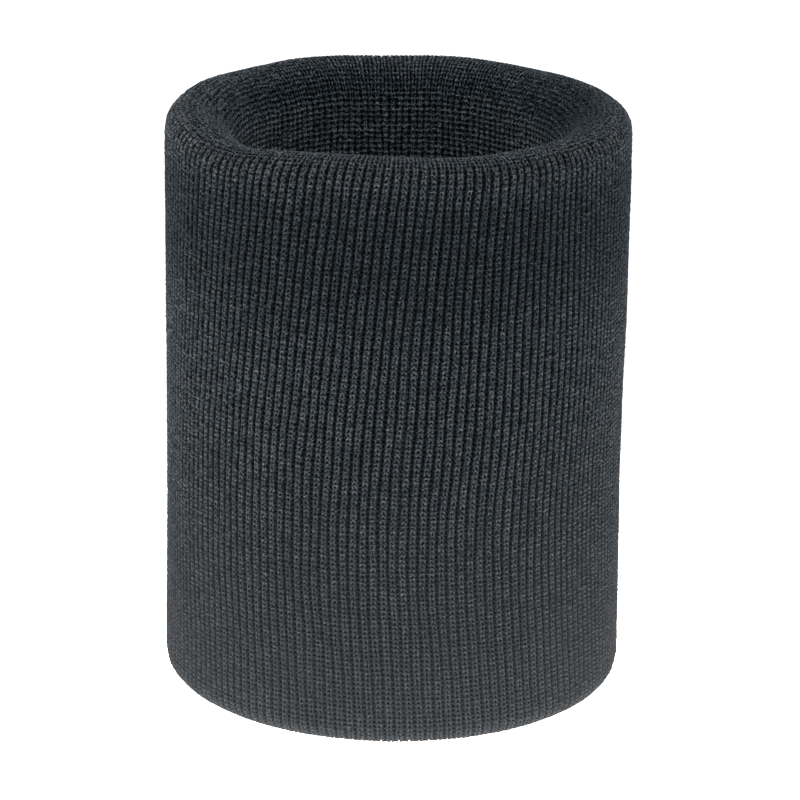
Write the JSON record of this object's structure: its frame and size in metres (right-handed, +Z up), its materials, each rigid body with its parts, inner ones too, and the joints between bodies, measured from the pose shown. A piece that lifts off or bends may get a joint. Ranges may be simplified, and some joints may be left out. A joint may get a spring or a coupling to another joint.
{
  "type": "sweat wristband",
  "caption": "Tubular knitted sweat wristband, folded double with rolled edges, hidden looped pile, a linked inner seam and laid-in elastic yarn.",
  "frame": {"origin": "middle of the ring that the band stands on, at the bottom edge", "axes": "+Z up along the band's axis, the way an arm goes through it; the band is round about it, so +X and +Y are free"},
  "size_m": [0.06, 0.06, 0.0764],
  "materials": {
    "knit_outside": "matte plain jersey knit in charcoal cotton and nylon, with a faint pale fuzz",
    "knit_inside": "matte plain jersey knit in charcoal cotton and nylon, finer and more open",
    "looped_pile": "matte looped terry pile",
    "linking_thread": "matte linked chain of loops",
    "covered_elastic": "nylon-covered elastane yarn, slightly shiny"
  },
  "bodies": {
    "root": {"outer_face": "knit_outside", "top_rolled_edge": "knit_outside", "bottom_rolled_edge": "knit_outside", "inner_face_upper": "knit_inside", "inner_face_lower": "knit_inside", "top_fold_pile": "looped_pile", "bottom_fold_pile": "looped_pile", "outer_terry_pile": "looped_pile", "inner_terry_pile_upper": "looped_pile", "inner_terry_pile_lower": "looped_pile", "linking_seam": "linking_thread", "selvedge_welt": "knit_inside", "outer_elastic_yarn": "covered_elastic", "inner_elastic_yarn_upper": "covered_elastic", "inner_elastic_yarn_lower": "covered_elastic"}
  },
  "joints": []
}
